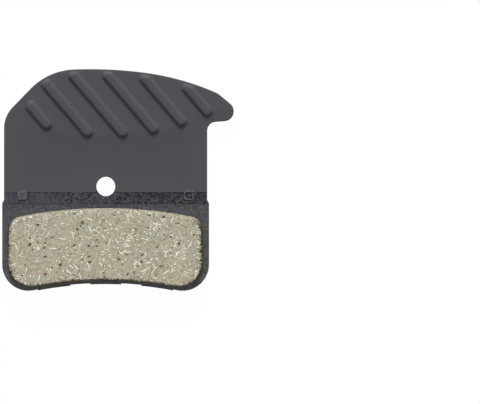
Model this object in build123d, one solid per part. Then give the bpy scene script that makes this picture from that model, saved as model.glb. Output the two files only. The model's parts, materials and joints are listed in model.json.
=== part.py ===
from build123d import *
import os
from math import ceil, cos, radians, sin, sqrt, tan

# Bicycle disc brake pad: a stamped backing plate with a ribbed cooling fin, and the friction block
# bonded to it. All sizes in mm. The pad lies on its back: the origin is the centre of the pin hole
# on the back face, +X runs along the pad, +Y points to the finned end and +Z off the friction face.

# Plate
PLATE_THICKNESS = 2.0
FRONT_EDGE_ROUND = 0.15
BACK_EDGE_BREAK = 0.1
PIN_HOLE_DIAMETER = 3.4

# Plate outline, lower half: the sides that slide in the caliper and the edge towards the hub
LOWER_WIDTH = 36.2
BOTTOM_Y = -16.92
BOTTOM_RADIUS = 63.5
BOTTOM_CORNER_RADIUS = 4.6

# Plate outline, upper half: the sides above the shoulders, the ramp and the crown of the fin
UPPER_WIDTH = 35.55
SHOULDER_Y = -2.93
SHOULDER_RISE = 0.6
TOP_X = -2.72
TOP_Y = 20.55
TOP_RADIUS = 73.4
TOP_TURN = 7.5
FIN_RADIUS = 46.0
RAMP_DROP = 8.23
RAMP_ANGLE = 45.95
RAMP_FOOT_RADIUS = 5.24
CROWN_RADIUS = 11.2

# Plate outline, fin tip: the beak that overhangs the right side
FIN_OVERHANG = 1.93
FIN_DROP = 5.03
BEAK_ANGLE = 40.0
BEAK_START_RADIUS = 4.0
TIP_RADIUS = 1.71
UNDERSIDE_ANGLE = 4.3
FIN_ROOT_RADIUS = 1.55

# Low lands on the bottom edge
LAND_HEIGHT = 0.18
CENTRE_LAND_WIDTH = 5.35
SIDE_LAND_WIDTH = 5.6
LAND_CORNER_GAP = 0.74

# Pressed ribs of the fin, and the grooves that the press leaves behind them
RIB_ANGLE = 49.55
RIB_PITCH = 4.585
RIB_FIRST_OFFSET = -6.77
RIB_WIDTH = 2.15
RIB_CREST_WIDTH = 1.15
RIB_HEIGHT = 0.5
RIB_UPPER_CORNER_RADIUS = 0.8
RIB_LOWER_CORNER_RADIUS = 0.95
RIB_CREST_ROUND = 0.6
RIB_FOOT_ROUND = 0.15
RIB_EDGE_GAP = 0.05
FIRST_RIB_EDGE_GAP = 1.05
RIB_ROOT_X = 0.7
RIB_ROOT_DROP = 12.25
RIB_ROOT_RADIUS = 41.5
RIB_END_TOLERANCE = 0.001
GROOVE_WIDTH = 1.7
GROOVE_FLOOR_WIDTH = 0.8
GROOVE_DEPTH = 0.45

# Rough band across the plate, and the two raised square marks near its ends, each with a dish
BAND_TOP_Y = -0.99
BAND_WIDTH = 2.04
BAND_DEPTH = 0.1
MARK_SIZE = 1.75
MARK_TOP_SIZE = 1.5
MARK_CORNER_RADIUS = 0.3
MARK_HEIGHT = 0.08
MARK_SIDE_MARGIN = 3.19
MARK_Y = -1.55
LEFT_DISH_SIZE = 0.9
LEFT_DISH_DEPTH = 0.05
RIGHT_DISH_SIZE = 1.15
RIGHT_DISH_DEPTH = 0.28

# Friction block, sized at its foot on the plate; its bottom edge keeps along the plate's
FRICTION_THICKNESS = 2.0
FRICTION_SIDE_MARGIN = 1.01
FRICTION_BOTTOM_MARGIN = 0.45
FRICTION_TOP_Y = -3.79
FRICTION_TOP_RADIUS = 77.3
FRICTION_TOP_CORNER_RADIUS = 2.6
FRICTION_BOTTOM_CORNER_RADIUS = 4.3
FRICTION_DRAFT = 8.0
FRICTION_EDGE_BREAK = 0.12


def heading(angle):
    """Unit vector at an angle from +X, in degrees."""
    return Vector(cos(radians(angle)), sin(radians(angle)))


def circle_top(centre, radius, x):
    """Point of a circle's upper half at x."""
    return Vector(x, centre.Y + sqrt(radius**2 - (x - centre.X) ** 2))


def line_circle(point, angle, centre, radius):
    """Last point where a line that runs at an angle through a point crosses a circle."""
    way = heading(angle)
    offset_to_point = point - centre
    along = offset_to_point.dot(way)
    half_chord = sqrt(radius**2 + along**2 - offset_to_point.dot(offset_to_point))
    return point + way * (half_chord - along)


def line_line(point_a, angle_a, point_b, angle_b):
    """Crossing of two lines, each given by a point and an angle."""
    way_a = heading(angle_a)
    way_b = heading(angle_b)
    gap = point_b - point_a
    return point_a + way_a * (gap.cross(way_b).Z / way_a.cross(way_b).Z)


def upper_arc(start, end, centre, radius):
    """Arc from start to end along the upper half of a circle."""
    middle = circle_top(centre, radius, (start.X + end.X) / 2)
    return ThreePointArc(start, middle, end)


def round_corner(outline, point, radius):
    """Round the outline's corner that is nearest to a point."""
    corner = outline.vertices().sort_by_distance(point)[0]
    return fillet(corner, radius)


def plate_outline():
    """Outline of the stamped blank, counter-clockwise and without the lands."""
    half_lower = LOWER_WIDTH / 2
    half_upper = UPPER_WIDTH / 2
    shoulder_top = SHOULDER_Y + SHOULDER_RISE

    bottom_centre = Vector(0, BOTTOM_Y - BOTTOM_RADIUS)
    bottom_right = circle_top(bottom_centre, BOTTOM_RADIUS, half_lower)
    bottom_left = circle_top(bottom_centre, BOTTOM_RADIUS, -half_lower)

    top_centre = Vector(TOP_X, TOP_Y - TOP_RADIUS)
    top_end = top_centre + heading(90 - TOP_TURN) * TOP_RADIUS
    fin_centre = top_end - heading(90 - TOP_TURN) * FIN_RADIUS
    ramp_foot = Vector(-half_upper, TOP_Y - RAMP_DROP)
    crown = line_circle(ramp_foot, RAMP_ANGLE, top_centre, TOP_RADIUS)
    beak_start = circle_top(fin_centre, FIN_RADIUS, half_upper + FIN_OVERHANG)
    fin_root = Vector(half_upper, beak_start.Y - FIN_DROP)
    tip = line_line(beak_start, -BEAK_ANGLE, fin_root, UNDERSIDE_ANGLE)

    right_side = Polyline(
        bottom_right,
        Vector(half_lower, SHOULDER_Y),
        Vector(half_upper, shoulder_top),
        fin_root,
        tip,
        beak_start,
    )
    left_side = Polyline(
        crown,
        ramp_foot,
        Vector(-half_upper, shoulder_top),
        Vector(-half_lower, SHOULDER_Y),
        bottom_left,
    )
    outline = make_face(
        [
            upper_arc(bottom_left, bottom_right, bottom_centre, BOTTOM_RADIUS),
            right_side,
            upper_arc(beak_start, top_end, fin_centre, FIN_RADIUS),
            upper_arc(top_end, crown, top_centre, TOP_RADIUS),
            left_side,
        ]
    )
    for corner, radius in (
        (bottom_left, BOTTOM_CORNER_RADIUS),
        (bottom_right, BOTTOM_CORNER_RADIUS),
        (ramp_foot, RAMP_FOOT_RADIUS),
        (crown, CROWN_RADIUS),
        (beak_start, BEAK_START_RADIUS),
        (tip, TIP_RADIUS),
        (fin_root, FIN_ROOT_RADIUS),
    ):
        outline = round_corner(outline, corner, radius)
    return outline


def rib_places(blank):
    """Offset across the fin and gap to the plate's edge of every rib that has room for both sides."""
    places = []
    for number in range(ceil(UPPER_WIDTH / RIB_PITCH)):
        offset = RIB_FIRST_OFFSET + number * RIB_PITCH
        gap = RIB_EDGE_GAP if places else FIRST_RIB_EDGE_GAP
        sides = [rib_side(blank, offset + half, gap, 0) for half in (-RIB_WIDTH / 2, RIB_WIDTH / 2)]
        lengths = [(upper - lower).length for upper, lower in sides if blank.is_inside(lower)]
        if len(lengths) == len(sides) and min(lengths) > RIB_WIDTH:
            places.append((offset, gap))
    return places


def rib_side(blank, offset, gap, inset):
    """Ends of a line along the ribs: one near the plate's edge, one on the arc of the roots."""
    root = Vector(RIB_ROOT_X, TOP_Y - RIB_ROOT_DROP)
    start = root + heading(90 - RIB_ANGLE) * offset
    root_centre = root + Vector(0, RIB_ROOT_RADIUS)
    lower = line_circle(start, -RIB_ANGLE, root_centre, RIB_ROOT_RADIUS - inset)

    up = heading(180 - RIB_ANGLE)
    edge = blank.outer_wire()
    clearance = FRONT_EDGE_ROUND + RIB_FOOT_ROUND / 2 + gap + inset
    clear = 0.0
    crowded = RIB_ROOT_DROP / sin(radians(RIB_ANGLE))
    while crowded - clear > RIB_END_TOLERANCE:
        middle = (clear + crowded) / 2
        point = lower + up * middle
        if blank.is_inside(point) and edge.distance_to(point) > clearance:
            clear = middle
        else:
            crowded = middle
    return lower + up * clear, lower


def rib_outline(blank, place, width):
    """Round-cornered outline along a rib, drawn in all round until it has the given width."""
    offset, gap = place
    inset = (RIB_WIDTH - width) / 2
    upper_left, lower_left = rib_side(blank, offset - width / 2, gap, inset)
    upper_right, lower_right = rib_side(blank, offset + width / 2, gap, inset)
    outline = make_face(Polyline(upper_left, lower_left, lower_right, upper_right, close=True))
    for corner, radius in (
        (upper_left, RIB_UPPER_CORNER_RADIUS),
        (upper_right, RIB_UPPER_CORNER_RADIUS),
        (lower_left, RIB_LOWER_CORNER_RADIUS),
        (lower_right, RIB_LOWER_CORNER_RADIUS),
    ):
        outline = round_corner(outline, corner, radius * width / RIB_WIDTH)
    return outline


def pressed_bar(blank, place, width, crest_width, height):
    """Bar with sloping sides and ends that stands along a rib on Z = 0."""
    foot = rib_outline(blank, place, width)
    crest = rib_outline(blank, place, crest_width)
    return loft([foot, Pos(0, 0, height) * crest], ruled=True)


def rib(blank, place):
    """Raised side of a pressed rib, with its crest rounded."""
    bar = pressed_bar(blank, place, RIB_WIDTH, RIB_CREST_WIDTH, RIB_HEIGHT)
    crest = bar.faces().sort_by(Axis.Z)[-1]
    return Pos(0, 0, PLATE_THICKNESS) * fillet(crest.edges(), RIB_CREST_ROUND)


def bottom_lands():
    """Three low lands along the bottom edge, between the rounded front and the broken back edge."""
    centre_y = BOTTOM_Y - BOTTOM_RADIUS
    ring = Circle(BOTTOM_RADIUS + LAND_HEIGHT) - Circle(BOTTOM_RADIUS - LAND_HEIGHT)
    corner_centre_x = LOWER_WIDTH / 2 - BOTTOM_CORNER_RADIUS
    corner_x = corner_centre_x * BOTTOM_RADIUS / (BOTTOM_RADIUS + BOTTOM_CORNER_RADIUS)
    side_x = corner_x - LAND_CORNER_GAP - SIDE_LAND_WIDTH / 2
    lands = Sketch()
    for x, width in (
        (-side_x, SIDE_LAND_WIDTH),
        (0, CENTRE_LAND_WIDTH),
        (side_x, SIDE_LAND_WIDTH),
    ):
        lands += ring & Pos(x, BOTTOM_RADIUS) * Rectangle(width, BOTTOM_RADIUS)
    height = PLATE_THICKNESS - FRONT_EDGE_ROUND - BACK_EDGE_BREAK
    return extrude(Pos(0, centre_y, BACK_EDGE_BREAK) * lands, amount=height)


def square_mark(side, size, level):
    """Rounded square over the left (-1) or right (+1) end of the band, at a level."""
    x = side * (UPPER_WIDTH / 2 - MARK_SIDE_MARGIN)
    return Pos(x, MARK_Y, level) * RectangleRounded(size, size, MARK_CORNER_RADIUS * size / MARK_SIZE)


def raised_mark(side):
    """Raised square with sloping sides, standing in the band."""
    foot = square_mark(side, MARK_SIZE, PLATE_THICKNESS - BAND_DEPTH)
    return loft([foot, square_mark(side, MARK_TOP_SIZE, PLATE_THICKNESS + MARK_HEIGHT)], ruled=True)


def dish(side, size, depth):
    """Space of the dish in the top of a raised mark."""
    return extrude(square_mark(side, size, PLATE_THICKNESS + MARK_HEIGHT - depth), amount=depth)


def backing_plate():
    """Stamped steel plate with its pressed fin."""
    outline = plate_outline()
    plate = extrude(outline, amount=PLATE_THICKNESS)
    plate = chamfer(plate.faces().sort_by(Axis.Z)[0].edges(), BACK_EDGE_BREAK)
    plate = fillet(plate.faces().sort_by(Axis.Z)[-1].edges(), FRONT_EDGE_ROUND)

    blank = outline.face()
    places = rib_places(blank)
    for place in places:
        plate += rib(blank, place)
    front = plate.faces().filter_by(lambda face: len(face.inner_wires()) > 0)[0]
    feet = [edge for loop in front.inner_wires() for edge in loop.edges()]
    plate = fillet(feet, RIB_FOOT_ROUND)
    for place in places:
        plate -= pressed_bar(blank, place, GROOVE_WIDTH, GROOVE_FLOOR_WIDTH, GROOVE_DEPTH)

    band = Box(LOWER_WIDTH + UPPER_WIDTH, BAND_WIDTH, BAND_DEPTH * 2)
    plate -= Pos(0, BAND_TOP_Y - BAND_WIDTH / 2, PLATE_THICKNESS) * band
    plate += raised_mark(-1)
    plate += raised_mark(1)
    plate -= dish(-1, LEFT_DISH_SIZE, LEFT_DISH_DEPTH)
    plate -= dish(1, RIGHT_DISH_SIZE, RIGHT_DISH_DEPTH)
    plate += bottom_lands()
    return plate - Cylinder(PIN_HOLE_DIAMETER / 2, PLATE_THICKNESS * 4)


def friction_outline(height, inset):
    """Outline of the friction block at a height over the plate, drawn in from its foot by an inset."""
    half = LOWER_WIDTH / 2 - FRICTION_SIDE_MARGIN - inset
    top_radius = FRICTION_TOP_RADIUS - inset
    top_centre = Vector(0, FRICTION_TOP_Y - FRICTION_TOP_RADIUS)
    bottom_radius = BOTTOM_RADIUS + FRICTION_BOTTOM_MARGIN + inset
    bottom_centre = Vector(0, BOTTOM_Y - BOTTOM_RADIUS)
    top_left = circle_top(top_centre, top_radius, -half)
    top_right = circle_top(top_centre, top_radius, half)
    bottom_left = circle_top(bottom_centre, bottom_radius, -half)
    bottom_right = circle_top(bottom_centre, bottom_radius, half)
    outline = make_face(
        [
            upper_arc(bottom_left, bottom_right, bottom_centre, bottom_radius),
            Line(bottom_right, top_right),
            upper_arc(top_right, top_left, top_centre, top_radius),
            Line(top_left, bottom_left),
        ]
    )
    for corner in (top_left, top_right):
        outline = round_corner(outline, corner, FRICTION_TOP_CORNER_RADIUS - inset)
    for corner in (bottom_left, bottom_right):
        outline = round_corner(outline, corner, FRICTION_BOTTOM_CORNER_RADIUS - inset)
    return Pos(0, 0, PLATE_THICKNESS + height) * outline


def friction_block():
    """Moulded friction compound, narrower at its rubbing face than at the plate."""
    shoulder_height = FRICTION_THICKNESS - FRICTION_EDGE_BREAK
    shoulder_inset = shoulder_height * tan(radians(FRICTION_DRAFT))
    sections = [
        friction_outline(0, 0),
        friction_outline(shoulder_height, shoulder_inset),
        friction_outline(FRICTION_THICKNESS, shoulder_inset + FRICTION_EDGE_BREAK),
    ]
    return loft(sections, ruled=True)


os.makedirs("parts", exist_ok=True)
export_step(backing_plate(), "parts/backing_plate.step")
export_step(friction_block(), "parts/friction_block.step")
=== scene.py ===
import json
import math

import bpy
import numpy as np
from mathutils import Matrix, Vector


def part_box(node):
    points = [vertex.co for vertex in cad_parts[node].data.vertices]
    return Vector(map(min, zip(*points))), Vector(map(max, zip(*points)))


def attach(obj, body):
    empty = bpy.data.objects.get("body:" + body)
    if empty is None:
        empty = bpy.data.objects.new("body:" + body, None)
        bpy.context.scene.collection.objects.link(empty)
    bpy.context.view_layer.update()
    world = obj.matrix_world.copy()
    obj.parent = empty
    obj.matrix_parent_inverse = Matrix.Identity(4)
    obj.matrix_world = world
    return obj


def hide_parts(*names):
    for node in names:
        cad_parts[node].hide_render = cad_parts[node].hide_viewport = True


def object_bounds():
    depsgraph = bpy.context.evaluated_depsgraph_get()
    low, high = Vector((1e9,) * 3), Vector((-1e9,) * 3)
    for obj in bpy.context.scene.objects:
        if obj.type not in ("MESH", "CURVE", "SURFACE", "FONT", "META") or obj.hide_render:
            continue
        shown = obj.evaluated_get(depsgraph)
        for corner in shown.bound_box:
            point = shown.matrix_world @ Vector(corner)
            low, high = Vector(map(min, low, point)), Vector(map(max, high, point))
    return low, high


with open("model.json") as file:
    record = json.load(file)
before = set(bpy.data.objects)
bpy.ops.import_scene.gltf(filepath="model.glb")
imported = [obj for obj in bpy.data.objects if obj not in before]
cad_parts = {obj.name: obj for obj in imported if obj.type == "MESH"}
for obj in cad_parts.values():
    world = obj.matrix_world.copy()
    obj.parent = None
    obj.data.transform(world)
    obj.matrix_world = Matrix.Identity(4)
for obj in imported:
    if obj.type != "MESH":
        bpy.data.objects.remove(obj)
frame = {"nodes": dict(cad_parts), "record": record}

# Looks of a bicycle disc brake pad: the coat of its stamped plate, the rough band across it and the
# friction block, with the fibres and grains of its compound. Lengths are in metres, in the part's
# frame. A pair of values says where something that fades in starts, and where it is full.

CAD_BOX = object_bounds()
MM = 0.001
PLATE = frame["nodes"]["backing_plate"]
BLOCK = frame["nodes"]["friction_block"]
BLOCK_LOW, BLOCK_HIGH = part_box("friction_block")
PLATE_FRONT = BLOCK_LOW.z
RUBBING_LEVEL = BLOCK_HIGH.z
BODY = "root"

# Mesh work: a weld distance, guards, a step for slopes, a rounding and the steps of a nearest search
WELD_GAP = 1e-7
COLUMN_GUARD = 1e-6
RUN_GUARD = 1e-12
SLOPE_STEP = 1e-6
POINT_DECIMALS = 8
NEAREST_BATCH = 2000
EDGE_STRIDE = 4

# Shading of the plate: how level a level face is, and from what angle an edge is sharp
LEVEL_LIMIT = 0.99999
CREASE_ANGLE = math.radians(30.0)

# Moulded friction block: its mesh, then its roughness, pits, chipped rim and frayed walls
CELL = 0.09 * MM
END_REACH = 4.0 * MM
WALL_ROWS = 16
LEVEL_MARGIN = 0.02 * MM
SHOULDER_DEPTH = 0.2 * MM
FOOT_HOLD = 0.2 * MM
ROUGHNESS_DEPTH = 0.035 * MM
SAG_DEPTH = 0.03 * MM
PIT_DEPTH = 0.12 * MM
PIT_SPACING = 1.3 * MM
PIT_STRAY = 0.9 * MM
CHIP_DEPTH = 0.16 * MM
CHIP_REACH = 0.45 * MM
CHIP_DROP = 0.3 * MM
RAGGED_DEPTH = 0.36 * MM
RAGGED_REACH = 1.2 * MM
FACING_UP = 0.3, 0.8
FACING_DOWN = -0.3, -0.8
UPPER_PART = -9.0 * MM, -6.5 * MM
LEFT_CHIPS = -9.0 * MM, -15.0 * MM
RIGHT_END = 13.0 * MM, 16.0 * MM
BOTH_ENDS = 14.0 * MM, 16.0 * MM

# Fibres and grains of the compound
FIBRE_POINTS = 7
FIBRE_SIDES = 6
FIBRE_FLATNESS = 0.4
FIBRE_LEVEL = RUBBING_LEVEL - 0.05 * MM
CLUSTER_SHARE = 0.7
NO_LIMIT = 1.0
GRAIN_SEGMENTS = 8
GRAIN_RINGS = 5
GRAIN_FLATNESS = 0.35
GRAIN_UNEVENNESS = (0.5 * MM, 0.5 * MM, 0.1 * MM)

# Rough band across the plate, with a raised square mark near each end
BAND_TOP = -0.99 * MM
BAND_BOTTOM = -3.03 * MM
BAND_FLOOR = PLATE_FRONT - 0.1 * MM
BAND_HALF_LENGTH = 17.65 * MM
BAND_CELL = 0.06 * MM
BAND_EDGE_REACH = 0.4 * MM
BAND_CLEARANCE = 0.04 * MM
BAND_SEAT = 0.03 * MM
BAND_GRAIN = dict(Relief=0.05 * MM, Grain=0.2 * MM, Lift=0.035 * MM)
BAND_COARSENING = -12.0 * MM, -6.0 * MM
BAND_PALING = -5.0 * MM, -11.0 * MM
BAND_DARKENING = -2.0 * MM, 7.0 * MM
DUST_BROWNING = 10.0 * MM, 17.0 * MM
RIB_MARGIN = 0.2 * MM
HOLE_RADIUS = frame["record"]["mounts"][0]["dims"]["r_mm"] * MM
MARK_X = 14.585 * MM
MARK_Y = -1.55 * MM
MARK_HALF = 0.875 * MM
DISH_HALF = 0.575 * MM
DISH_FLOOR = PLATE_FRONT - 0.2 * MM
DISH_GRAIN = dict(Relief=0.2 * MM, Grain=0.3 * MM, Lift=0.0)

# Camera: straight down on the plate's front
VIEW_CENTRE = (23.54 * MM, -2.72 * MM)
VIEW_WIDTH = 84.02 * MM
LENS = 200.0
SENSOR = 36.0
CLIP_START = 0.01

# Light: a soft lamp from the finned end, a wide one overhead, and a weaker light from all round
LAMPS = {
    "key": dict(elevation=28.0, spread=24.0, share=0.6),
    "overhead": dict(elevation=90.0, spread=50.0, share=0.21),
}
FILL_SHARE = 0.19
FLOOR_GLOW = 0.975
FLOOR_HALF = 3.0


class Wire:
    """An output socket of a node tree. Arithmetic on wires adds Math nodes to the tree."""

    def __init__(self, bench, socket):
        self.bench = bench
        self.socket = socket

    def math(self, operation, *terms):
        return self.bench.node("ShaderNodeMath", {"operation": operation}, dict(enumerate(terms)))

    def __add__(self, other):
        return self.math("ADD", self, other)

    def __sub__(self, other):
        return self.math("SUBTRACT", self, other)

    def __rsub__(self, other):
        return self.math("SUBTRACT", other, self)

    def __mul__(self, other):
        return self.math("MULTIPLY", self, other)

    def __truediv__(self, other):
        return self.math("DIVIDE", self, other)

    def __rtruediv__(self, other):
        return self.math("DIVIDE", other, self)

    __radd__ = __add__
    __rmul__ = __mul__

    def above(self, other):
        return self.math("GREATER_THAN", self, other)

    def below(self, other):
        return self.math("LESS_THAN", self, other)

    def at_most(self, other):
        return self.math("MINIMUM", self, other)

    def at_least(self, other):
        return self.math("MAXIMUM", self, other)

    def power(self, exponent):
        return self.math("POWER", self, exponent)

    def magnitude(self):
        return self.math("ABSOLUTE", self)

    def rise(self, low, high):
        """0 below low, 1 above high and a smooth step between; with low above high it falls."""
        return self.bench.node(
            "ShaderNodeMapRange",
            {"interpolation_type": "SMOOTHSTEP"},
            {"Value": self, "From Min": low, "From Max": high},
        )

    def other(self, name):
        """Another output of the same node."""
        return Wire(self.bench, self.bench.pick(self.socket.node.outputs, name))


class Bench:
    """A node tree, with one way of adding nodes to it."""

    def __init__(self, tree):
        self.tree = tree

    def pick(self, sockets, name):
        """Socket by its name, or by its number among those in use."""
        shown = [socket for socket in sockets if socket.enabled]
        if isinstance(name, int):
            return shown[name]
        return next(socket for socket in shown if socket.name == name)

    def plug(self, socket, value):
        """Link a wire, or a list of wires, to a socket, or set the socket's own value."""
        if isinstance(value, Wire):
            self.tree.links.new(value.socket, socket)
        elif isinstance(value, list):
            for wire in value:
                self.tree.links.new(wire.socket, socket)
        elif socket.type == "RGBA" and len(value) == 3:
            socket.default_value = (*value, 1.0)
        else:
            socket.default_value = value

    def node(self, kind, settings=None, sockets=None, out=0):
        """Add a node, make its settings, fill its sockets and return one of its outputs."""
        node = self.tree.nodes.new(kind)
        for name, value in (settings or {}).items():
            setattr(node, name, value)
        for name, value in (sockets or {}).items():
            self.plug(self.pick(node.inputs, name), value)
        return Wire(self, self.pick(node.outputs, out))

    def mix(self, factor, first, second):
        """Colour between two colours."""
        return self.node(
            "ShaderNodeMix", {"data_type": "RGBA"}, {"Factor": factor, "A": first, "B": second}
        )

    def vector(self, operation, first, second):
        return self.node("ShaderNodeVectorMath", {"operation": operation}, {0: first, 1: second})

    def scaled(self, vector, length):
        return self.node("ShaderNodeVectorMath", {"operation": "SCALE"}, {0: vector, "Scale": length})

    def spot(self, x=0.0, y=0.0, z=0.0):
        return self.node("ShaderNodeCombineXYZ", None, {"X": x, "Y": y, "Z": z})

    def along(self, name, vector):
        """Component of a vector along an axis."""
        return self.node("ShaderNodeSeparateXYZ", None, {"Vector": vector}, name)

    def noise(self, place, grain, detail, roughness=0.5):
        """Noise from 0 to 1 with a grain of a given size."""
        return self.node(
            "ShaderNodeTexNoise",
            None,
            {"Vector": place, "Scale": 1.0 / grain, "Detail": detail, "Roughness": roughness},
            "Fac",
        )

    def cells(self, place, size):
        """Distance from the nearest of points scattered over a plane, in their own spacing."""
        return self.node(
            "ShaderNodeTexVoronoi",
            {"voronoi_dimensions": "2D"},
            {"Vector": place, "Scale": 1.0 / size},
            "Distance",
        )


def tone(red, green, blue):
    """Linear colour of a display colour given from 0 to 255."""
    return tuple(
        part / 12.92 if part <= 0.04045 else ((part + 0.055) / 1.055) ** 2.4
        for part in (red / 255, green / 255, blue / 255)
    )


# Materials, in which noises are set apart by a shift of their place


class Finish(Bench):
    """A material with one Principled shader."""

    def __init__(self, name, **uniform):
        self.material = bpy.data.materials.new(name)
        self.material.use_nodes = True
        super().__init__(self.material.node_tree)
        self.shader = self.tree.nodes["Principled BSDF"]
        self.surface(**uniform)
        self.place = self.node("ShaderNodeTexCoord", None, None, "Object")

    def surface(self, **sockets):
        """Fill the shader's inputs, whose names are given with _ for a space."""
        for label, value in sockets.items():
            self.plug(self.shader.inputs[label.replace("_", " ")], value)

    def bump(self, height, depth, strength):
        """Relief that is too fine for the mesh, from a height between 0 and 1."""
        normal = self.node(
            "ShaderNodeBump", None, {"Height": height, "Distance": depth, "Strength": strength}
        )
        self.surface(Normal=normal)

    def attribute(self, name):
        """A value that is stored on the mesh's points."""
        return self.node("ShaderNodeAttribute", {"attribute_name": name}, None, "Fac")

    def axis(self, name):
        """Coordinate of the shaded place along an axis."""
        return self.along(name, self.place)

    def facing(self, name):
        """Component of the surface's own direction along an axis."""
        return self.along(name, self.node("ShaderNodeNewGeometry", None, None, "Normal"))


def plate_coat():
    """Satin dark grey coat with a very fine grain: darker on its cut edges and walls, partly as
    painted shade, rubbed on the square marks, sooty below the band, dusty round the block, warmer
    and lighter beside it, and with painted light along the lower edge, where the block's shadow falls."""
    finish = Finish("plate_coat", Specular_IOR_Level=0.12)
    x = finish.axis("X")
    y = finish.axis("Y")
    height = finish.axis("Z")
    level = finish.facing("Z").rise(0.8, 0.97)
    cloud = finish.noise(finish.place, 4.0 * MM, 3.0)
    grain = finish.noise(finish.place, 0.12 * MM, 3.0, 0.7)
    peel = finish.noise(finish.place, 0.45 * MM, 1.0)
    tint = finish.mix(cloud.rise(0.3, 0.7), tone(71, 73, 77), tone(73, 73, 77))
    tint = finish.mix(grain.rise(0.35, 0.75) * 0.2, tint, tone(84, 85, 89))
    # Darker on the cut edges and walls: partly their own darker tone, partly painted shade for the dark
    # rim along the outline.
    sheared_and_shaded = height.rise(BAND_FLOOR, BAND_FLOOR - 0.05 * MM) * (1 - level)
    tint = finish.mix(sheared_and_shaded * 0.7, tint, tone(44, 44, 46))

    rub = finish.noise(finish.place, 0.3 * MM, 2.0)
    raised = height.rise(PLATE_FRONT + 0.01 * MM, PLATE_FRONT + 0.07 * MM) * y.rise(0.0, BAND_TOP)
    rubbed = finish.mix(rub.rise(0.2, 0.6), tone(78, 80, 84), tone(94, 97, 101))
    dotted = finish.mix(rub.rise(0.42, 0.57), tone(36, 37, 40), tone(112, 114, 118))
    tint = finish.mix(raised * 0.8, tint, finish.mix(x.rise(-MARK_X, MARK_X), rubbed, dotted))

    soot = finish.noise(finish.vector("MULTIPLY", finish.place, (1.0, 0.6, 1.0)), 0.5 * MM, 3.0, 0.6)
    smear = y.rise(BAND_BOTTOM - 1.6 * MM, BAND_BOTTOM) * soot.rise(0.35, 0.65)
    smear = smear * y.rise(BAND_TOP, BAND_BOTTOM) * height.rise(BAND_FLOOR, PLATE_FRONT)
    tint = finish.mix(smear * 0.8, tint, tone(46, 49, 55))

    # Warmer and lighter in strips beside the block's sides.
    beside = x.magnitude().rise(BLOCK_HIGH.x - 0.9 * MM, BLOCK_HIGH.x + 0.1 * MM)
    beside = beside * y.rise(BLOCK_HIGH.y, BLOCK_HIGH.y - 3.0 * MM)
    tint = finish.mix(beside * level * 0.3, tint, tone(82, 74, 68))
    # Painted light: the level coat is made paler round and below the block's lower end, where the
    # block's shadow falls.
    painted_light_below_block = y.rise(BLOCK_LOW.y + 3.1 * MM, BLOCK_LOW.y + 1.5 * MM)
    tint = finish.mix(painted_light_below_block * level * 0.8, tint, tone(106, 105, 107))

    dust = finish.noise(finish.vector("ADD", finish.place, (0.17, 0.0, 0.0)), 0.45 * MM, 3.0, 0.7)
    dusty = y.rise(BAND_BOTTOM, BAND_BOTTOM - 0.4 * MM) * level
    pale = finish.mix(x.rise(*DUST_BROWNING), tone(93, 93, 97), tone(100, 95, 90))
    tint = finish.mix(dusty * dust.rise(0.48, 0.64) * 0.55, tint, pale)
    tint = finish.mix(dusty * dust.rise(0.52, 0.34) * 0.6, tint, tone(47, 48, 53))
    finish.surface(Base_Color=tint, Roughness=grain * 0.16 + cloud * 0.08 + 0.5)
    finish.bump(grain * 0.6 + peel * 0.4, 0.012 * MM, 0.6)
    return finish.material


def band_coat():
    """Coat over the rough band: painted shade darkens its hollows and painted light makes its crests
    paler; it is paler to the left as well.
    """
    finish = Finish("band_coat", Specular_IOR_Level=0.12)
    x = finish.axis("X")
    height = finish.attribute("height")
    grain = finish.noise(finish.place, 0.1 * MM, 3.0, 0.7)
    left = x.rise(*BAND_PALING)
    right = x.rise(*BAND_DARKENING)
    # Painted shade in the grain's hollows and painted light on its crests, set by the grain's height.
    shaded_hollow = finish.mix(right, tone(34, 35, 38), tone(20, 21, 24))
    shaded_hollow = finish.mix(left, shaded_hollow, tone(50, 52, 57))
    lit_crest = finish.mix(right, tone(80, 82, 87), tone(72, 74, 79))
    lit_crest = finish.mix(left, lit_crest, tone(76, 79, 85))
    tint = finish.mix(height.rise(0.0, 1.0), shaded_hollow, lit_crest)
    finish.surface(Base_Color=tint, Roughness=grain * 0.25 + 0.4)
    finish.bump(grain, 0.02 * MM, 0.7)
    return finish.material


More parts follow.
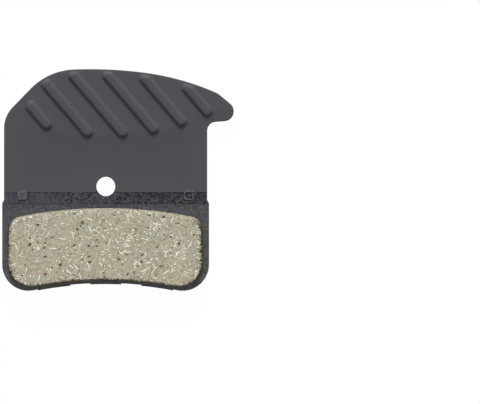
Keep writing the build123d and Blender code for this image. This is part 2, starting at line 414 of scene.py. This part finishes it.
def friction_compound():
    """Moulded compound: beige with soft pink and green patches, fine flecks, dark pits and white chips.
    A dark moulded layer covers its walls and also paints their shade, except on the upper wall, which
    faces the lamp and has it in torn streaks only. Painted shade also darkens the rim where it faces
    the lamp."""
    finish = Finish("friction_compound", Specular_IOR_Level=0.2)
    broad = finish.noise(finish.place, 2.6 * MM, 2.0)
    pink = finish.noise(finish.vector("ADD", finish.place, (0.31, 0.0, 0.0)), 2.2 * MM, 2.0)
    green = finish.noise(finish.vector("ADD", finish.place, (0.0, 0.57, 0.0)), 2.8 * MM, 2.0)
    drawn_down = finish.vector("MULTIPLY", finish.place, (1.0, 1.0, 0.5))
    fleck = finish.noise(drawn_down, 0.3 * MM, 3.0, 0.65)
    mottle = finish.noise(finish.vector("ADD", drawn_down, (0.0, 0.0, 0.29)), 0.55 * MM, 4.0, 0.7)
    stain = finish.noise(finish.vector("ADD", drawn_down, (0.0, 0.13, 0.0)), 0.6 * MM, 3.0, 0.6)
    tint = finish.mix(broad.rise(0.3, 0.7), tone(163, 157, 135), tone(172, 166, 148))
    tint = finish.mix(pink.rise(0.52, 0.7) * 0.75, tint, tone(179, 161, 143))
    tint = finish.mix(green.rise(0.52, 0.7) * 0.6, tint, tone(159, 163, 145))
    tint = finish.mix(mottle.rise(0.5, 0.7) * 0.7, tint, tone(196, 190, 172))
    tint = finish.mix(mottle.rise(0.5, 0.3) * 0.7, tint, tone(136, 129, 105))
    tint = finish.mix(fleck.rise(0.52, 0.74) * 0.8, tint, tone(212, 207, 190))
    tint = finish.mix(fleck.rise(0.46, 0.27) * 0.7, tint, tone(122, 114, 92))
    tint = finish.mix(stain.rise(0.66, 0.76) * 0.5, tint, tone(116, 106, 82))

    height = finish.axis("Z")
    # Dark moulded layer on the walls, which also paints their shade; the upper wall, which faces the
    # lamp, has it in torn streaks only.
    wall = height.rise(RUBBING_LEVEL - 0.12 * MM, RUBBING_LEVEL - 0.4 * MM)
    streak = finish.noise(drawn_down, 0.35 * MM, 3.0, 0.6)
    skin_and_shade = finish.mix(streak.rise(0.45, 0.7), tone(64, 59, 40), tone(128, 122, 98))
    torn = finish.noise(finish.vector("MULTIPLY", finish.place, (1.0, 1.0, 0.35)), 0.45 * MM, 3.0, 0.6)
    torn = torn.rise(0.46, 0.4) * height.rise(RUBBING_LEVEL - 2.0 * MM, RUBBING_LEVEL - 1.3 * MM)
    skin_and_shade_cover = finish.facing("Y").rise(0.9, 0.4).at_least(torn * 0.8)
    tint = finish.mix(wall * skin_and_shade_cover, tint, skin_and_shade)
    # Painted shade: black laid over the rim where it faces the finned end and the lamp.
    painted_shade_rim = finish.attribute("rim").rise(0.6 * MM, 0.2 * MM)
    tint = finish.mix(finish.facing("Y").rise(0.0, 0.3) * painted_shade_rim * 0.2, tint, tone(0, 0, 0))
    tint = finish.mix(finish.attribute("chip") * 0.9, tint, tone(232, 231, 224))
    tint = finish.mix(finish.attribute("pit"), tint, tone(84, 74, 51))
    finish.surface(Base_Color=tint, Roughness=fleck * 0.2 + 0.75)
    finish.bump(fleck, 0.03 * MM, 0.8)
    return finish.material


def fibre_gloss():
    """Glassy cream fibres; each has its own tone, from almost hidden to nearly white."""
    finish = Finish("fibre_gloss", Specular_IOR_Level=0.3)
    strand = finish.noise(finish.place, 0.25 * MM, 2.0)
    pale = finish.mix(finish.attribute("tone"), tone(184, 178, 158), tone(252, 249, 236))
    tint = finish.mix(strand.rise(0.6, 0.4) * 0.25, pale, tone(196, 190, 170))
    finish.surface(Base_Color=tint, Roughness=strand * 0.3 + 0.4)
    finish.bump(strand, 0.015 * MM, 0.5)
    return finish.material


def dark_mineral():
    """Dark brown grains of the compound."""
    finish = Finish("dark_mineral", Specular_IOR_Level=0.3)
    mottle = finish.noise(finish.place, 0.15 * MM, 3.0)
    dull = finish.mix(finish.attribute("tone"), tone(72, 63, 42), tone(134, 124, 98))
    tint = finish.mix(mottle.rise(0.45, 0.7) * 0.5, dull, tone(134, 124, 98))
    finish.surface(Base_Color=tint, Roughness=mottle * 0.3 + 0.5)
    finish.bump(mottle, 0.02 * MM, 0.7)
    return finish.material


# Geometry Nodes


class Recipe(Bench):
    """A Geometry Nodes tree with named inputs; run() makes a plain mesh object from it."""

    def __init__(self, name, **inputs):
        tree = bpy.data.node_groups.new(name, "GeometryNodeTree")
        super().__init__(tree)
        tree.interface.new_socket("Geometry", in_out="INPUT", socket_type="NodeSocketGeometry")
        for label, kind in inputs.items():
            tree.interface.new_socket(label, in_out="INPUT", socket_type="NodeSocket" + kind)
        tree.interface.new_socket("Geometry", in_out="OUTPUT", socket_type="NodeSocketGeometry")
        self.source = tree.nodes.new("NodeGroupInput")
        self.result = tree.nodes.new("NodeGroupOutput")
        self.place = self.node("GeometryNodeInputPosition")

    def given(self, name):
        """One of the recipe's inputs."""
        return Wire(self, self.source.outputs[name])

    def random(self, low, high, seed, of=None, kind="FLOAT"):
        """Random value for each element, or for each thing that the numbers in of tell apart."""
        sockets = {"Min": low, "Max": high, "Seed": seed}
        if of is not None:
            sockets["ID"] = of
        return self.node("FunctionNodeRandomValue", {"data_type": kind}, sockets)

    def axis(self, name):
        """Coordinate of the geometry's points along an axis."""
        return self.along(name, self.place)

    def moved(self, geometry, **sockets):
        return self.node("GeometryNodeSetPosition", None, {"Geometry": geometry, **sockets})

    def kept(self, geometry, name, value):
        """Store a value on the geometry's points."""
        return self.node(
            "GeometryNodeStoreNamedAttribute",
            {"data_type": "FLOAT", "domain": "POINT"},
            {"Geometry": geometry, "Name": name, "Value": value},
        )

    def read(self, name):
        """A value that is stored on the geometry's points."""
        return self.node("GeometryNodeInputNamedAttribute", {"data_type": "FLOAT"}, {"Name": name})

    def welded(self, geometry):
        return self.node(
            "GeometryNodeMergeByDistance", None, {"Geometry": geometry, "Distance": WELD_GAP}
        )

    def finish(self, geometry):
        """Shade the geometry smooth, give it the recipe's material and hand it out."""
        realized = self.node("GeometryNodeRealizeInstances", None, {"Geometry": geometry})
        smooth = self.node("GeometryNodeSetShadeSmooth", None, {"Geometry": realized})
        coated = self.node(
            "GeometryNodeSetMaterial", None, {"Geometry": smooth, "Material": self.given("Material")}
        )
        self.plug(self.result.inputs["Geometry"], coated)

    def run(self, source, name, **values):
        """Work on a copy of an object's mesh, with the given inputs, and make a new object of it."""
        modifier = source.modifiers.new(self.tree.name, "NODES")
        modifier.node_group = self.tree
        for item in self.tree.interface.items_tree:
            if item.in_out == "INPUT" and item.name in values:
                modifier[item.identifier] = values[item.name]
        evaluated = source.evaluated_get(bpy.context.evaluated_depsgraph_get())
        mesh = bpy.data.meshes.new_from_object(evaluated)
        source.modifiers.remove(modifier)
        mesh.name = name
        piece = bpy.data.objects.new(name, mesh)
        bpy.context.scene.collection.objects.link(piece)
        return piece


def scatter(recipe, selection, seed):
    """Random points on the chosen faces of the recipe's geometry."""
    return recipe.node(
        "GeometryNodeDistributePointsOnFaces",
        None,
        {
            "Mesh": recipe.given("Geometry"),
            "Selection": selection,
            "Density": recipe.given("Density"),
            "Seed": seed,
        },
    )


def flat_turn(recipe, seed):
    """Random turn about the upright axis."""
    turn = recipe.random(0.0, math.tau, seed)
    return recipe.node("FunctionNodeEulerToRotation", None, {0: recipe.spot(z=turn)})


def ground_off(recipe, geometry, place, height):
    """Set points at a place and a height, ground off at the rubbing level."""
    x = recipe.along("X", place)
    y = recipe.along("Y", place)
    return recipe.moved(geometry, Position=recipe.spot(x, y, height.at_most(RUBBING_LEVEL)))


def fibre_recipe():
    """Slightly curved fibres lying in a face, in ones and small clusters."""
    recipe = Recipe(
        "fibres",
        Density="Float",
        Cluster="Int",
        Spread="Float",
        Inner="Float",
        Outer="Float",
        Overhang="Float",
        Shortest="Float",
        Longest="Float",
        Bend="Float",
        Thinnest="Float",
        Thickest="Float",
        Palest="Float",
        Seed="Int",
        Material="Material",
    )
    seed = recipe.given("Seed")
    room = recipe.read("room")
    spread = recipe.given("Spread").at_most(room * CLUSTER_SHARE)
    rim = recipe.read("rim")
    chosen = rim.above(recipe.given("Outer")) * rim.below(recipe.given("Inner"))
    points = recipe.kept(scatter(recipe, chosen, seed), "room", rim)
    copies = recipe.random(1, recipe.given("Cluster"), seed + 1, kind="INT")
    group = recipe.node(
        "GeometryNodeDuplicateElements", {"domain": "POINT"}, {"Geometry": points, "Amount": copies}
    )
    shift = recipe.random((-1.0, -1.0, 0.0), (1.0, 1.0, 0.0), seed + 2, kind="FLOAT_VECTOR")
    group = recipe.moved(group, Offset=recipe.scaled(shift, spread))
    line = recipe.node(
        "GeometryNodeCurvePrimitiveLine", None, {"Start": (-0.5, 0.0, 0.0), "End": (0.5, 0.0, 0.0)}
    )
    line = recipe.node("GeometryNodeResampleCurve", None, {"Curve": line, "Count": FIBRE_POINTS})
    length = recipe.random(recipe.given("Shortest"), recipe.given("Longest"), seed + 3)
    length = length.at_most((room - spread + recipe.given("Overhang")) * 2)
    strands = recipe.node(
        "GeometryNodeInstanceOnPoints",
        None,
        {
            "Points": group,
            "Instance": line,
            "Rotation": flat_turn(recipe, seed + 4),
            "Scale": recipe.spot(length, 1.0, 1.0),
        },
    )
    strands = recipe.node("GeometryNodeRealizeInstances", None, {"Geometry": strands})
    strand = recipe.node("GeometryNodeCurveOfPoint", None, None, "Curve Index")
    share = recipe.node("GeometryNodeSplineParameter", None, None, "Factor")
    bow = share * (1 - share) * 4
    sideways = recipe.vector("CROSS_PRODUCT", recipe.node("GeometryNodeInputTangent"), (0.0, 0.0, 1.0))
    bend = recipe.random(-1.0, 1.0, seed + 5, strand) * recipe.given("Bend") * bow
    strands = recipe.moved(strands, Offset=recipe.scaled(sideways, bend))
    strands = recipe.kept(strands, "tone", recipe.random(recipe.given("Palest"), 1.0, seed + 6, strand))
    width = recipe.random(recipe.given("Thinnest"), recipe.given("Thickest"), seed + 7, strand)
    taper = bow.power(0.4) * 0.5 + 0.5
    tube = recipe.node(
        "GeometryNodeCurveToMesh",
        None,
        {
            "Curve": strands,
            "Profile Curve": recipe.node(
                "GeometryNodeCurvePrimitiveCircle", None, {"Resolution": FIBRE_SIDES, "Radius": 0.5}
            ),
            "Scale": width * taper,
            "Fill Caps": True,
        },
    )
    height = (recipe.axis("Z") - FIBRE_LEVEL) * FIBRE_FLATNESS + FIBRE_LEVEL
    recipe.finish(ground_off(recipe, tube, recipe.place, height))
    return recipe


def grain_recipe():
    """Small uneven dark grains sunk in a face."""
    recipe = Recipe(
        "grains",
        Density="Float",
        Smallest="Float",
        Largest="Float",
        Darkest="Float",
        Margin="Float",
        Seed="Int",
        Material="Material",
    )
    seed = recipe.given("Seed")
    rim = recipe.read("rim")
    points = scatter(recipe, rim.above(recipe.given("Margin")), seed)
    points = recipe.kept(points, "tone", recipe.random(recipe.given("Darkest"), 1.0, seed + 1))
    size = recipe.random(recipe.given("Smallest"), recipe.given("Largest"), seed + 2)
    size = size * recipe.random(0.5, 1.0, seed + 3)
    grains = recipe.node(
        "GeometryNodeInstanceOnPoints",
        None,
        {
            "Points": points,
            "Instance": recipe.node(
                "GeometryNodeMeshUVSphere",
                None,
                {"Segments": GRAIN_SEGMENTS, "Rings": GRAIN_RINGS, "Radius": 0.5},
            ),
            "Rotation": flat_turn(recipe, seed + 4),
            "Scale": recipe.spot(
                size, size * recipe.random(0.4, 0.9, seed + 5), size * GRAIN_FLATNESS
            ),
        },
    )
    realized = recipe.node("GeometryNodeRealizeInstances", None, {"Geometry": grains})
    knobs = recipe.noise(recipe.place, 0.2 * MM, 1.0).other("Color")
    knobs = recipe.vector("SUBTRACT", knobs, (0.5, 0.5, 0.6))
    uneven = recipe.vector("ADD", recipe.place, recipe.vector("MULTIPLY", knobs, GRAIN_UNEVENNESS))
    recipe.finish(ground_off(recipe, realized, uneven, recipe.along("Z", uneven)))
    return recipe


def compound_relief():
    """Roughness, pits, chipped rim and frayed walls of the moulded block, worked in from its form."""
    recipe = Recipe("compound_relief", Material="Material")
    place = recipe.place
    x = recipe.axis("X")
    rim = recipe.read("rim")
    outward_y = recipe.read("outward_y")
    upper = outward_y.rise(*FACING_UP)
    lower = outward_y.rise(*FACING_DOWN)
    high = recipe.axis("Y").rise(*UPPER_PART)
    right = x.rise(*RIGHT_END)
    rough = recipe.noise(place, 0.3 * MM, 4.0, 0.6)
    sag = recipe.noise(place, 1.6 * MM, 2.0)

    stray = recipe.noise(place, 0.3 * MM, 2.0).other("Color")
    stray = recipe.scaled(recipe.vector("SUBTRACT", stray, (0.5, 0.5, 0.5)), PIT_STRAY)
    distance = recipe.cells(recipe.vector("ADD", place, stray), PIT_SPACING)
    chosen = recipe.along("X", distance.other("Color"))
    pit = (distance / (chosen.rise(0.7, 1.0) * 0.2 + 0.04)).rise(1.0, 0.5) * chosen.rise(0.7, 0.72)

    drop = upper * CHIP_DROP + CHIP_REACH
    near = rim.rise(CHIP_REACH, 0.0) * rim.rise(drop * -1.0, drop * -0.5)
    bite = recipe.noise(place, 0.6 * MM, 2.0, 0.6) + upper * 0.02 + lower * 0.04
    chip = near * (bite + x.rise(*LEFT_CHIPS) * high * 0.1).rise(0.61, 0.65)

    worn = x.magnitude().rise(*BOTH_ENDS) * high * (right * 0.55 + 0.4)
    nick = recipe.noise(place, 0.5 * MM, 1.0).rise(0.62, 0.7) * right
    fray = right * 0.3 + 0.7 - upper * 0.4
    torn = recipe.noise(recipe.vector("MULTIPLY", place, (1.0, 1.0, 0.3)), 0.45 * MM, 3.0, 0.7)
    torn = (torn - lower * 0.04).rise(0.46, 0.58)
    ragged = (torn * fray + worn + nick * 0.8).at_most(2.0)
    ragged = ragged * rim.magnitude().rise(RAGGED_REACH, 0.0)

    held = recipe.axis("Z").rise(PLATE_FRONT, PLATE_FRONT + FOOT_HOLD)
    depth = rough * ROUGHNESS_DEPTH + sag * SAG_DEPTH + pit * PIT_DEPTH + chip * CHIP_DEPTH
    worked = recipe.kept(recipe.given("Geometry"), "pit", pit * rim.rise(0.0, 0.1 * MM))
    worked = recipe.kept(worked, "chip", chip)
    sunk = recipe.scaled(recipe.node("GeometryNodeInputNormal"), depth * held * -1.0)
    aside = recipe.spot(recipe.read("outward_x"), outward_y)
    drawn_in = recipe.scaled(aside, ragged * held * -RAGGED_DEPTH)
    recipe.finish(recipe.moved(worked, Offset=recipe.vector("ADD", sunk, drawn_in)))
    return recipe


def band_relief():
    """Rough grain on a flat sheet, made a thin closed slab: coarse, but smooth and streaky to the left,
    and lifted here and there along the band's upper edge."""
    recipe = Recipe("band_relief", Relief="Float", Grain="Float", Lift="Float", Material="Material")
    sheet = recipe.given("Geometry")
    place = recipe.place
    rough = recipe.axis("X").rise(*BAND_COARSENING)
    patch = recipe.noise(place, 1.1 * MM, 2.0) - 0.5
    fine = recipe.noise(place, recipe.given("Grain"), 3.0, 0.6) - 0.5
    speck = recipe.along("X", recipe.cells(place, 0.2 * MM).other("Color")) - 0.5
    streak = recipe.noise(recipe.vector("MULTIPLY", place, (1.0, 0.15, 1.0)), 0.35 * MM, 2.0) - 0.5
    coarse = fine * 1.3 + speck + patch * 0.7 + 0.4
    smooth = streak * 1.6 + speck * 0.2 + patch * 0.9 + 0.4
    height = coarse * rough + smooth * (1 - rough)
    sheet = recipe.kept(sheet, "height", height.at_most(1.0).at_least(0.0))

    up = recipe.node(
        "GeometryNodeExtrudeMesh",
        {"mode": "FACES"},
        {"Mesh": sheet, "Offset": (0.0, 0.0, 1.0), "Offset Scale": BAND_SEAT, "Individual": False},
    )
    crown = recipe.along("Z", recipe.node("GeometryNodeInputNormal")).rise(0.0, 0.2)
    top = recipe.axis("Y").rise(BAND_TOP - BAND_EDGE_REACH, BAND_TOP)
    lift = recipe.noise(place, 0.5 * MM, 2.0).rise(0.4, 0.6) * top * recipe.given("Lift")
    raised = (recipe.read("height") * recipe.given("Relief") + lift) * crown
    up = recipe.moved(up, Offset=recipe.spot(z=raised))
    underside = recipe.node("GeometryNodeFlipFaces", None, {"Mesh": sheet})
    slab = recipe.node("GeometryNodeJoinGeometry", None, {"Geometry": [up, underside]})
    recipe.finish(recipe.welded(slab))
    return recipe


def soft_shading():
    """Weld a solid's triangles and shade it smooth, but sharp at steep edges and round its level faces.
    The ribs' crests stand higher than those, and stay soft."""
    recipe = Recipe("soft_shading")
    angle = recipe.node("GeometryNodeInputMeshEdgeAngle", None, None, "Unsigned Angle")
    upright = recipe.along("Z", recipe.node("GeometryNodeInputNormal")).magnitude()
    low = recipe.axis("Z").below(PLATE_FRONT + RIB_MARGIN)
    level = recipe.node(
        "GeometryNodeFieldOnDomain",
        {"data_type": "FLOAT", "domain": "FACE"},
        {"Value": upright.above(LEVEL_LIMIT) * low},
    )
    one_side_level = level.math("COMPARE", level, 0.5, 0.25)
    crease = one_side_level.at_least(angle.above(CREASE_ANGLE))
    smooth = recipe.node(
        "GeometryNodeSetShadeSmooth",
        {"domain": "FACE"},
        {"Geometry": recipe.welded(recipe.given("Geometry"))},
    )
    creased = recipe.node(
        "GeometryNodeSetShadeSmooth",
        {"domain": "EDGE"},
        {"Geometry": smooth, "Selection": crease, "Shade Smooth": False},
    )
    recipe.plug(recipe.result.inputs["Geometry"], creased)
    return recipe


# Meshes


def level_loop(node, low, high):
    """Outline of a block between two levels: its points there, in order round its centre."""
    points = np.array([vertex.co for vertex in node.data.vertices])
    points = points[(points[:, 2] >= low) & (points[:, 2] <= high)]
    points = np.unique(points.round(POINT_DECIMALS), axis=0)
    middle = (points.min(0) + points.max(0)) / 2
    order = np.argsort(np.arctan2(points[:, 1] - middle[1], points[:, 0] - middle[0]))
    return points[order]


def loop_rows(loop, columns):
    """Half width of an outline, and its lower and upper edge at each column from -1 to 1."""
    half = loop[:, 0].max()
    starts = loop[:, :2]
    ends = np.roll(starts, -1, axis=0)
    lower = []
    upper = []
    for x in np.clip(columns, -1 + COLUMN_GUARD, 1 - COLUMN_GUARD) * half:
        crossing = (starts[:, 0] - x) * (ends[:, 0] - x) <= 0
        run = ends[crossing, 0] - starts[crossing, 0]
        run = np.where(np.abs(run) < RUN_GUARD, RUN_GUARD, run)
        share = np.clip((x - starts[crossing, 0]) / run, 0, 1)
        heights = starts[crossing, 1] + share * (ends[crossing, 1] - starts[crossing, 1])
        lower.append(heights.min())
        upper.append(heights.max())
    return half, np.array(lower), np.array(upper)


def loop_sheet(loop, columns, rows):
    """Grid of points over an outline, by column and row."""
    half, lower, upper = loop_rows(loop, columns)
    sheet = np.empty((len(columns), len(rows), 3))
    sheet[:, :, 0] = (columns * half)[:, None]
    sheet[:, :, 1] = lower[:, None] + (upper - lower)[:, None] * rows[None, :]
    sheet[:, :, 2] = loop[:, 2].mean()
    return sheet


def border(sheet):
    """Points round a grid's edge, counter-clockwise."""
    return np.concatenate([sheet[:-1, 0], sheet[-1, :-1], sheet[:0:-1, -1], sheet[0, :0:-1]])


def mesh_piece(name, points, faces, **attributes):
    """Object with a mesh of its own and values on the mesh's points."""
    mesh = bpy.data.meshes.new(name)
    mesh.from_pydata(points.tolist(), [], faces)
    for label, values in attributes.items():
        layer = mesh.attributes.new(label, "FLOAT", "POINT")
        layer.data.foreach_set("value", np.asarray(values, dtype=np.float32))
    piece = bpy.data.objects.new(name, mesh)
    bpy.context.scene.collection.objects.link(piece)
    return piece


def grid_faces(columns, rows):
    """Quads of a grid whose points are numbered column by column."""
    return [
        (i * rows + j, (i + 1) * rows + j, (i + 1) * rows + j + 1, i * rows + j + 1)
        for i in range(columns - 1)
        for j in range(rows - 1)
    ]


def block_blank():
    """Fine smooth mesh of the friction block's face and walls, on the outlines of its solid."""
    foot = level_loop(BLOCK, PLATE_FRONT - LEVEL_MARGIN, PLATE_FRONT + LEVEL_MARGIN)
    shoulder = level_loop(BLOCK, RUBBING_LEVEL - SHOULDER_DEPTH, RUBBING_LEVEL - LEVEL_MARGIN)
    face = level_loop(BLOCK, RUBBING_LEVEL - LEVEL_MARGIN, RUBBING_LEVEL + LEVEL_MARGIN)

    end = END_REACH / BLOCK_HIGH.x
    bend = np.arange(0, math.pi / 2, CELL / END_REACH)
    right = (1 - end) + end * np.sin(np.append(bend, math.pi / 2))
    middle = np.linspace(-(1 - end), 1 - end, round(2 * (1 - end) * BLOCK_HIGH.x / CELL))
    columns = np.concatenate([-right[::-1], middle[1:-1], right])
    rows = np.linspace(0, 1, round((face[:, 1].max() - face[:, 1].min()) / CELL))

    sheet = loop_sheet(face, columns, rows)
    rings = [border(loop_sheet(shoulder, columns, rows))]
    foot_ring = border(loop_sheet(foot, columns, rows))
    for step in range(1, WALL_ROWS + 1):
        rings.append(rings[0] + (foot_ring - rings[0]) * (step / WALL_ROWS))
    numbers = np.arange(sheet[:, :, 0].size).reshape(sheet.shape[:2])
    edge = border(numbers[:, :, None])[:, 0]
    points = np.concatenate([sheet.reshape(-1, 3), *rings])

    faces = grid_faces(*numbers.shape)
    size = len(edge)
    upper = edge
    for ring in range(len(rings)):
        lower = numbers.size + ring * size + np.arange(size)
        for here in range(size):
            ahead = (here + 1) % size
            faces.append((int(upper[here]), int(lower[here]), int(lower[ahead]), int(upper[ahead])))
        upper = lower
    # One face closes the block underneath.
    faces.append(tuple(int(corner) for corner in upper[::-1]))

    # The rim value of a point is how far it lies in from the edge of the face. On the walls it is how
    # far it lies below the face, and negative.
    face_points = sheet.reshape(-1, 3)
    edge_points = face_points[edge]
    run = np.roll(edge_points, -1, axis=0) - np.roll(edge_points, 1, axis=0)
    away = np.stack([run[:, 1], -run[:, 0]], axis=1) / np.linalg.norm(run, axis=1)[:, None]
    rim = points[:, 2] - RUBBING_LEVEL
    outward = np.concatenate([np.empty((len(face_points), 2)), np.tile(away, (len(rings), 1))])
    for start in range(0, len(face_points), NEAREST_BATCH):
        part = face_points[start : start + NEAREST_BATCH]
        gaps = np.linalg.norm(part[:, None, :2] - edge_points[None, ::EDGE_STRIDE, :2], axis=2)
        rim[start : start + len(part)] = gaps.min(1)
        outward[start : start + len(part)] = away[::EDGE_STRIDE][gaps.argmin(1)]
    return mesh_piece(
        "block_blank", points, faces, rim=rim, outward_x=outward[:, 0], outward_y=outward[:, 1]
    )


def cut_away(points, gap):
    """Move points that lie inside a cut-out onto its edge; gap gives their distance from it."""
    step_x = (SLOPE_STEP, 0, 0)
    step_y = (0, SLOPE_STEP, 0)
    slope = np.stack(
        [
            (gap(points + step_x) - gap(points - step_x)) / (2 * SLOPE_STEP),
            (gap(points + step_y) - gap(points - step_y)) / (2 * SLOPE_STEP),
            np.zeros(len(points)),
        ],
        axis=1,
    )
    inside = gap(points) < 0
    points[inside] -= slope[inside] * gap(points)[inside, None]


def hole_gap(points):
    """Distance from the cut-out round the pin hole."""
    return np.linalg.norm(points[:, :2], axis=1) - HOLE_RADIUS - BAND_CLEARANCE


def mark_gap(points):
    """Distance from the cut-out round the nearer of the two square marks."""
    across = np.abs(np.abs(points[:, 0]) - MARK_X)
    along = np.abs(points[:, 1] - MARK_Y)
    return np.maximum(across, along) - MARK_HALF - BAND_CLEARANCE


def flat_sheet(low, high, level, cut_outs):
    """Grid of small faces over a rectangle, with cut-outs left free."""
    columns = round((high[0] - low[0]) / BAND_CELL) + 1
    rows = round((high[1] - low[1]) / BAND_CELL) + 1
    points = np.empty((columns, rows, 3))
    points[:, :, 0] = np.linspace(low[0], high[0], columns)[:, None]
    points[:, :, 1] = np.linspace(low[1], high[1], rows)[None, :]
    points[:, :, 2] = level - BAND_SEAT / 2
    points = points.reshape(-1, 3)
    free = np.zeros(len(points), dtype=bool)
    for gap in cut_outs:
        free |= gap(points) < 0
    faces = [face for face in grid_faces(columns, rows) if not all(free[corner] for corner in face)]
    for gap in cut_outs:
        cut_away(points, gap)
    return mesh_piece("flat_sheet", points, faces)


# Pieces


def wear(piece):
    """Let a piece ride on the part's body."""
    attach(piece, BODY)


def dress_plate():
    """Coat and shade the plate's solid, and lay the rough grain in its band and in its dish."""
    PLATE.data.materials.clear()
    PLATE.data.materials.append(plate_coat())
    shading = PLATE.modifiers.new("soft_shading", "NODES")
    shading.node_group = soft_shading().tree

    relief = band_relief()
    coat = band_coat()
    room = DISH_HALF + BAND_CLEARANCE
    band = flat_sheet(
        (-BAND_HALF_LENGTH, BAND_BOTTOM), (BAND_HALF_LENGTH, BAND_TOP), BAND_FLOOR, (hole_gap, mark_gap)
    )
    dish = flat_sheet(
        (MARK_X - room, MARK_Y - room), (MARK_X + room, MARK_Y + room), DISH_FLOOR, ()
    )
    for name, sheet, grain in (("rough_band", band, BAND_GRAIN), ("dish_grain", dish, DISH_GRAIN)):
        wear(relief.run(sheet, name, Material=coat, **grain))
        bpy.data.objects.remove(sheet)


# Outer and Inner bound a fibre's distance from the rim, and Overhang is how far past it a tip may lie.
FIBRE_SORTS = {
    "long_fibres": dict(
        Density=0.16 / MM**2,
        Cluster=1,
        Spread=0.0,
        Outer=0.25 * MM,
        Inner=NO_LIMIT,
        Overhang=0.0,
        Shortest=0.6 * MM,
        Longest=1.4 * MM,
        Bend=0.05 * MM,
        Thinnest=0.15 * MM,
        Thickest=0.23 * MM,
        Palest=0.65,
        Seed=11,
    ),
    "short_fibres": dict(
        Density=0.6 / MM**2,
        Cluster=4,
        Spread=0.6 * MM,
        Outer=0.15 * MM,
        Inner=NO_LIMIT,
        Overhang=0.0,
        Shortest=0.14 * MM,
        Longest=0.5 * MM,
        Bend=0.02 * MM,
        Thinnest=0.12 * MM,
        Thickest=0.25 * MM,
        Palest=0.2,
        Seed=29,
    ),
    "rim_whiskers": dict(
        Density=1.2 / MM**2,
        Cluster=1,
        Spread=0.0,
        Outer=0.02 * MM,
        Inner=0.25 * MM,
        Overhang=0.28 * MM,
        Shortest=0.3 * MM,
        Longest=0.8 * MM,
        Bend=0.08 * MM,
        Thinnest=0.06 * MM,
        Thickest=0.15 * MM,
        Palest=0.2,
        Seed=61,
    ),
}
GRAIN_SORTS = {
    "dark_grains": dict(
        Density=0.1 / MM**2,
        Smallest=0.3 * MM,
        Largest=0.75 * MM,
        Darkest=0.0,
        Margin=0.3 * MM,
        Seed=47,
    ),
    "fine_grains": dict(
        Density=0.6 / MM**2,
        Smallest=0.12 * MM,
        Largest=0.32 * MM,
        Darkest=0.4,
        Margin=0.1 * MM,
        Seed=83,
    ),
}


def dress_block():
    """Put the moulded block in the place of its solid, with its fibres and grains."""
    blank = block_blank()
    block = compound_relief().run(blank, "moulded_block", Material=friction_compound())
    bpy.data.objects.remove(blank)
    wear(block)
    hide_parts("friction_block")
    for recipe, material, sorts in (
        (fibre_recipe(), fibre_gloss(), FIBRE_SORTS),
        (grain_recipe(), dark_mineral(), GRAIN_SORTS),
    ):
        for name, sizes in sorts.items():
            wear(recipe.run(block, name, Material=material, **sizes))


# Stage


def seen_directly(bench):
    """1 for a ray from the camera or from a mirror or glass, 0 for light that falls on the object."""
    path = bench.node("ShaderNodeLightPath", None, None, "Is Camera Ray")
    glossy = path.other("Is Glossy Ray")
    return path.at_least(glossy).at_least(path.other("Is Transmission Ray"))


def white_floor():
    """Floor that looks white to the camera and keeps a faint shadow of the object."""
    corners = np.array([(-1, -1, 0), (1, -1, 0), (1, 1, 0), (-1, 1, 0)]) * FLOOR_HALF
    corners[:, 2] = CAD_BOX[0].z
    floor = mesh_piece("floor", corners, [(0, 1, 2, 3)])
    material = bpy.data.materials.new("white_floor")
    material.use_nodes = True
    bench = Bench(material.node_tree)
    matt = bench.node("ShaderNodeBsdfDiffuse", None, {"Color": (1.0, 1.0, 1.0)})
    glow = bench.node("ShaderNodeEmission", None, {"Color": (1.0, 1.0, 1.0), "Strength": 1.0})
    mixed = bench.node(
        "ShaderNodeMixShader", None, {0: seen_directly(bench) * FLOOR_GLOW, 1: matt, 2: glow}
    )
    bench.plug(material.node_tree.nodes["Material Output"].inputs["Surface"], mixed)
    floor.data.materials.append(material)


def studio_light():
    """Lamps and fill light; on a level surface their shares add up to 1."""
    for name, kind in LAMPS.items():
        lamp = bpy.data.lights.new(name, "SUN")
        lamp.energy = kind["share"] * math.pi / math.sin(math.radians(kind["elevation"]))
        lamp.angle = math.radians(kind["spread"])
        holder = bpy.data.objects.new(name, lamp)
        holder.rotation_euler = (-math.radians(90 - kind["elevation"]), 0.0, 0.0)
        bpy.context.scene.collection.objects.link(holder)

    world = bpy.data.worlds.new("studio")
    world.use_nodes = True
    bpy.context.scene.world = world
    bench = Bench(world.node_tree)
    background = world.node_tree.nodes["Background"]
    bench.plug(background.inputs["Color"], (1.0, 1.0, 1.0))
    bench.plug(background.inputs["Strength"], seen_directly(bench) * (1 - FILL_SHARE) + FILL_SHARE)


def camera():
    """Camera above the view's centre, as far off as its lens needs for the view's width."""
    lens = bpy.data.cameras.new("camera")
    lens.lens = LENS
    lens.sensor_width = SENSOR
    lens.sensor_fit = "HORIZONTAL"
    lens.clip_start = CLIP_START
    eye = bpy.data.objects.new("camera", lens)
    eye.location = (*VIEW_CENTRE, PLATE_FRONT + VIEW_WIDTH * LENS / SENSOR)
    bpy.context.scene.collection.objects.link(eye)
    bpy.context.scene.camera = eye


dress_plate()
dress_block()
white_floor()
studio_light()
camera()
bpy.context.scene.view_settings.view_transform = "Standard"
